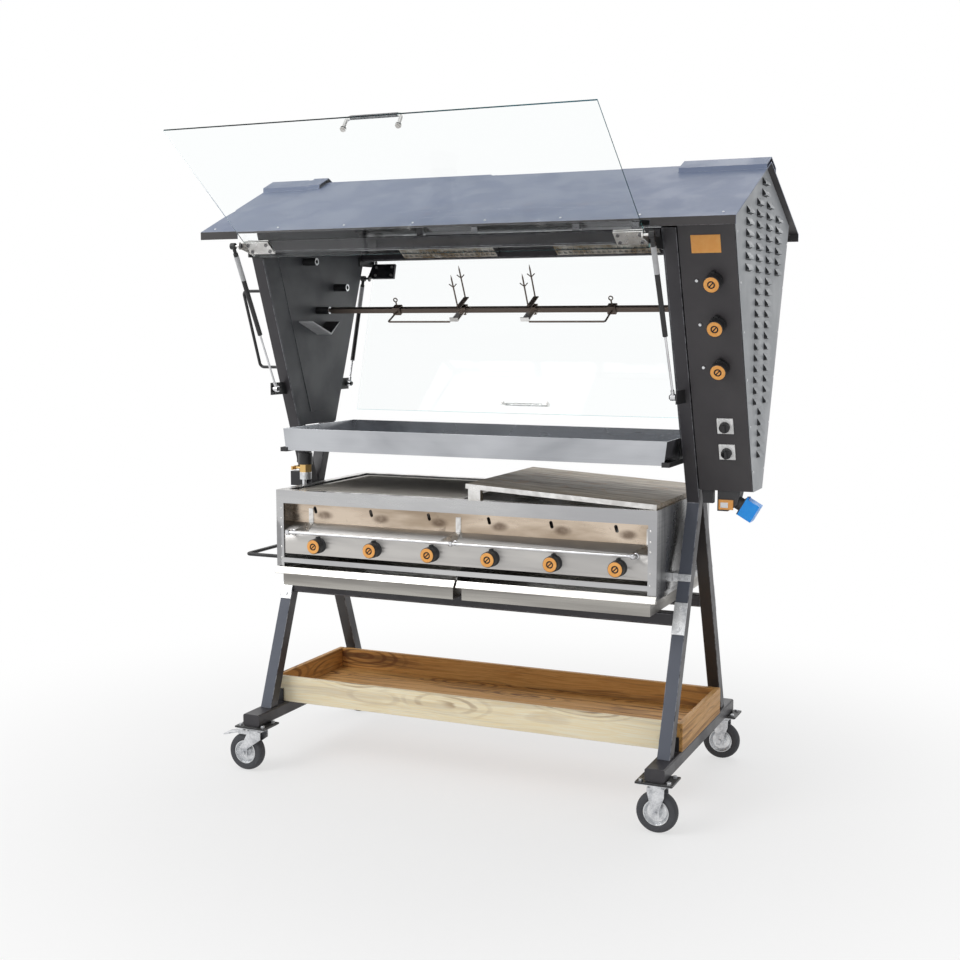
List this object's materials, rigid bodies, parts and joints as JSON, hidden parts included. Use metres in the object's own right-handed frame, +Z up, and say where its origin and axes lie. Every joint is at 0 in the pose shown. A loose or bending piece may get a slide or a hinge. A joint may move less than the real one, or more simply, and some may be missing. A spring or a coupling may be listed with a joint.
{
  "type": "gas grill cart with rotisserie hood",
  "caption": "Gas grill cart: burner firebox with grates and drip drawers under a gable hood with a spit, glass doors on gas struts, wooden shelf and casters.",
  "frame": {"origin": "floor level under the middle of the whole outline, with the front door open", "axes": "+X to the control panel side, +Y to the back, +Z up"},
  "size_m": [1.719, 1.2856, 2.0235],
  "materials": {
    "frame_paint": "satin powder coat",
    "roof_paint": "satin coil coat",
    "panel_paint": "satin",
    "casing_paint": "satin",
    "black_paint": "satin",
    "zinc": "bright zinc plate",
    "stainless": "brushed",
    "heat_tint": "brushed, heat tinted",
    "grate_steel": "rough",
    "spit_steel": "brown, heat stained",
    "chrome": "polished",
    "brass": "satin",
    "glass": "clear tempered",
    "black_plastic": "fine texture",
    "blue_plastic": "moulded",
    "tyre": "grey rubber on a pressed steel rim",
    "pine": "scorched and oiled"
  },
  "bodies": {
    "frame": {"base_beams": "frame_paint", "front_legs": "frame_paint", "rear_legs": "frame_paint", "cross_rails": "frame_paint", "frame_clamps": "zinc", "wood_tray": "pine", "caster_plates": "zinc", "roof": "roof_paint", "side_panels": "panel_paint", "louvre_panel": "casing_paint", "control_panel": "black_paint", "panel_fittings": "black_plastic", "inlet_housing": "black_plastic", "push_handles": "black_paint", "post_brackets": "black_paint", "spit_rests": "zinc", "drive_motors": "black_paint", "radiant_burners": "stainless", "firebox": "stainless", "slot_shield": "heat_tint", "fascia": "stainless", "front_bar": "stainless", "burner_set": "stainless", "gas_regulator": "zinc"},
    "gas_valve_lever": {"valve_lever": "brass"},
    "mesh_grate": {"mesh_grate": "grate_steel"},
    "griddle_plate": {"griddle_plate": "grate_steel"},
    "left_drawer": {"left_drawer": "stainless"},
    "right_drawer": {"right_drawer": "stainless"},
    "drip_tray": {"drip_tray": "stainless"},
    "spit": {"spit_bar": "spit_steel", "spit_forks": "spit_steel"},
    "front_door": {"front_glass": "glass", "front_fittings": "stainless"},
    "rear_door": {"rear_glass": "glass", "rear_fittings": "stainless"},
    "front_strut_rods": {"front_rods": "chrome"},
    "front_strut_cylinders": {"front_cylinders": "black_paint"},
    "rear_strut_rods": {"rear_rods": "chrome"},
    "rear_strut_cylinders": {"rear_cylinders": "black_paint"},
    "inlet_cap": {"inlet_cap": "blue_plastic"},
    "burner_knob_1": {"burner_knob_1": "black_plastic"},
    "burner_knob_2": {"burner_knob_2": "black_plastic"},
    "burner_knob_3": {"burner_knob_3": "black_plastic"},
    "burner_knob_4": {"burner_knob_4": "black_plastic"},
    "burner_knob_5": {"burner_knob_5": "black_plastic"},
    "burner_knob_6": {"burner_knob_6": "black_plastic"},
    "hood_knob_1": {"hood_knob_1": "black_plastic"},
    "hood_knob_2": {"hood_knob_2": "black_plastic"},
    "hood_knob_3": {"hood_knob_3": "black_plastic"},
    "switch_knob_1": {"switch_knob_1": "black_plastic"},
    "switch_knob_2": {"switch_knob_2": "black_plastic"},
    "right_front_wheel": {"right_front_wheel": "tyre"},
    "right_rear_wheel": {"right_rear_wheel": "tyre"},
    "left_front_wheel": {"left_front_wheel": "tyre"},
    "left_rear_wheel": {"left_rear_wheel": "tyre"},
    "left_front_fork_body": {"left_front_fork": "zinc"},
    "left_rear_fork_body": {"left_rear_fork": "zinc"},
    "left_front_brake": {"left_front_brake": "zinc"},
    "left_rear_brake": {"left_rear_brake": "zinc"}
  },
  "joints": [
    {"name": "front_door_hinge", "type": "hinge", "parent": "frame", "child": "front_door", "pos_m": [-0.0315, -0.19125, 1.692], "axis": [1, 0, 0], "range_deg": [0, 141.6]},
    {"name": "front_strut_hinge", "type": "hinge", "parent": "frame", "child": "front_strut_rods", "pos_m": [-0.0315, -0.03125, 1.256], "axis": [1, 0, 0], "range_deg": [-10.81, 0]},
    {"name": "front_strut_slide", "type": "slide", "parent": "front_strut_rods", "child": "front_strut_cylinders", "axis": [0, 0.4591, -0.8884], "range_m": [0, 0.11384]},
    {"name": "rear_door_hinge", "type": "hinge", "parent": "frame", "child": "rear_door", "pos_m": [-0.0315, 0.61675, 1.692], "axis": [1, 0, 0], "range_deg": [0, 141.6]},
    {"name": "rear_strut_hinge", "type": "hinge", "parent": "frame", "child": "rear_strut_rods", "pos_m": [-0.0315, 0.45675, 1.256], "axis": [1, 0, 0], "range_deg": [-10.81, 0]},
    {"name": "rear_strut_slide", "type": "slide", "parent": "rear_strut_rods", "child": "rear_strut_cylinders", "axis": [0, 0.2844, 0.9587], "range_m": [0, 0.11384]},
    {"name": "spit_turn", "type": "hinge", "parent": "frame", "child": "spit", "pos_m": [-0.0315, 0.21275, 1.515], "axis": [1, 0, 0], "continuous": true},
    {"name": "hood_knob_1_turn", "type": "hinge", "parent": "frame", "child": "hood_knob_1", "pos_m": [0.7705, 0.01104, 1.343], "axis": [0, -0.9348, -0.3551], "range_deg": [-270, 0]},
    {"name": "hood_knob_2_turn", "type": "hinge", "parent": "frame", "child": "hood_knob_2", "pos_m": [0.7705, -0.03569, 1.466], "axis": [0, -0.9348, -0.3551], "range_deg": [-270, 0]},
    {"name": "hood_knob_3_turn", "type": "hinge", "parent": "frame", "child": "hood_knob_3", "pos_m": [0.7705, -0.08241, 1.589], "axis": [0, -0.9348, -0.3551], "range_deg": [-270, 0]},
    {"name": "switch_knob_1_turn", "type": "hinge", "parent": "frame", "child": "switch_knob_1", "pos_m": [0.7705, 0.10676, 1.091], "axis": [0, -0.9348, -0.3551], "range_deg": [-90, 90]},
    {"name": "switch_knob_2_turn", "type": "hinge", "parent": "frame", "child": "switch_knob_2", "pos_m": [0.7705, 0.07675, 1.17], "axis": [0, -0.9348, -0.3551], "range_deg": [-90, 90]},
    {"name": "burner_knob_1_turn", "type": "hinge", "parent": "frame", "child": "burner_knob_1", "pos_m": [-0.5195, -0.08125, 0.754], "axis": [0, -1, 0], "range_deg": [-270, 0]},
    {"name": "burner_knob_2_turn", "type": "hinge", "parent": "frame", "child": "burner_knob_2", "pos_m": [-0.3155, -0.08125, 0.754], "axis": [0, -1, 0], "range_deg": [-270, 0]},
    {"name": "burner_knob_3_turn", "type": "hinge", "parent": "frame", "child": "burner_knob_3", "pos_m": [-0.1115, -0.08125, 0.754], "axis": [0, -1, 0], "range_deg": [-270, 0]},
    {"name": "burner_knob_4_turn", "type": "hinge", "parent": "frame", "child": "burner_knob_4", "pos_m": [0.0925, -0.08125, 0.754], "axis": [0, -1, 0], "range_deg": [-270, 0]},
    {"name": "burner_knob_5_turn", "type": "hinge", "parent": "frame", "child": "burner_knob_5", "pos_m": [0.2965, -0.08125, 0.754], "axis": [0, -1, 0], "range_deg": [-270, 0]},
    {"name": "burner_knob_6_turn", "type": "hinge", "parent": "frame", "child": "burner_knob_6", "pos_m": [0.5005, -0.08125, 0.754], "axis": [0, -1, 0], "range_deg": [-270, 0]},
    {"name": "left_drawer_slide", "type": "slide", "parent": "frame", "child": "left_drawer", "axis": [0, -1, 0], "range_m": [0, 0.45]},
    {"name": "right_drawer_slide", "type": "slide", "parent": "frame", "child": "right_drawer", "axis": [0, -1, 0], "range_m": [0, 0.45]},
    {"name": "mesh_grate_lift", "type": "slide", "parent": "frame", "child": "mesh_grate", "axis": [0, 0, 1], "range_m": [0, 0.06]},
    {"name": "griddle_lift", "type": "slide", "parent": "frame", "child": "griddle_plate", "axis": [0, 0, 1], "range_m": [0, 0.05]},
    {"name": "drip_tray_lift", "type": "slide", "parent": "frame", "child": "drip_tray", "axis": [0, 0, 1], "range_m": [0, 0.06]},
    {"name": "gas_valve_turn", "type": "hinge", "parent": "frame", "child": "gas_valve_lever", "pos_m": [-0.7255, 0.10675, 0.982], "axis": [1, 0, 0], "range_deg": [0, 90]},
    {"name": "inlet_cap_hinge", "type": "hinge", "parent": "frame", "child": "inlet_cap", "pos_m": [0.8195, 0.18275, 0.94798], "axis": [0, -1, 0], "range_deg": [0, 70]},
    {"name": "right_front_wheel_spin", "type": "hinge", "parent": "frame", "child": "right_front_wheel", "pos_m": [0.6525, -0.16625, 0.0625], "axis": [0, 1, 0], "continuous": true},
    {"name": "left_front_swivel", "type": "hinge", "parent": "frame", "child": "left_front_fork_body", "pos_m": [-0.7155, -0.16625, 0], "axis": [0, 0, 1], "continuous": true},
    {"name": "left_front_wheel_spin", "type": "hinge", "parent": "left_front_fork_body", "child": "left_front_wheel", "pos_m": [-0.7535, -0.16625, 0.0625], "axis": [0, 1, 0], "continuous": true},
    {"name": "left_front_brake_press", "type": "hinge", "parent": "left_front_fork_body", "child": "left_front_brake", "pos_m": [-0.7675, -0.16625, 0.131], "axis": [0, -1, 0], "range_deg": [0, 10]},
    {"name": "right_rear_wheel_spin", "type": "hinge", "parent": "frame", "child": "right_rear_wheel", "pos_m": [0.6525, 0.59175, 0.0625], "axis": [0, 1, 0], "continuous": true},
    {"name": "left_rear_swivel", "type": "hinge", "parent": "frame", "child": "left_rear_fork_body", "pos_m": [-0.7155, 0.59175, 0], "axis": [0, 0, 1], "continuous": true},
    {"name": "left_rear_wheel_spin", "type": "hinge", "parent": "left_rear_fork_body", "child": "left_rear_wheel", "pos_m": [-0.7535, 0.59175, 0.0625], "axis": [0, 1, 0], "continuous": true},
    {"name": "left_rear_brake_press", "type": "hinge", "parent": "left_rear_fork_body", "child": "left_rear_brake", "pos_m": [-0.7675, 0.59175, 0.131], "axis": [0, -1, 0], "range_deg": [0, 10]}
  ],
  "couplings": [
    {"joint": "front_strut_hinge", "follows": "front_door_hinge", "ratio": -0.076308},
    {"joint": "front_strut_slide", "follows": "front_door_hinge", "m_per_rad": 0.046057},
    {"joint": "rear_strut_hinge", "follows": "rear_door_hinge", "ratio": -0.076308},
    {"joint": "rear_strut_slide", "follows": "rear_door_hinge", "m_per_rad": 0.046057}
  ]
}
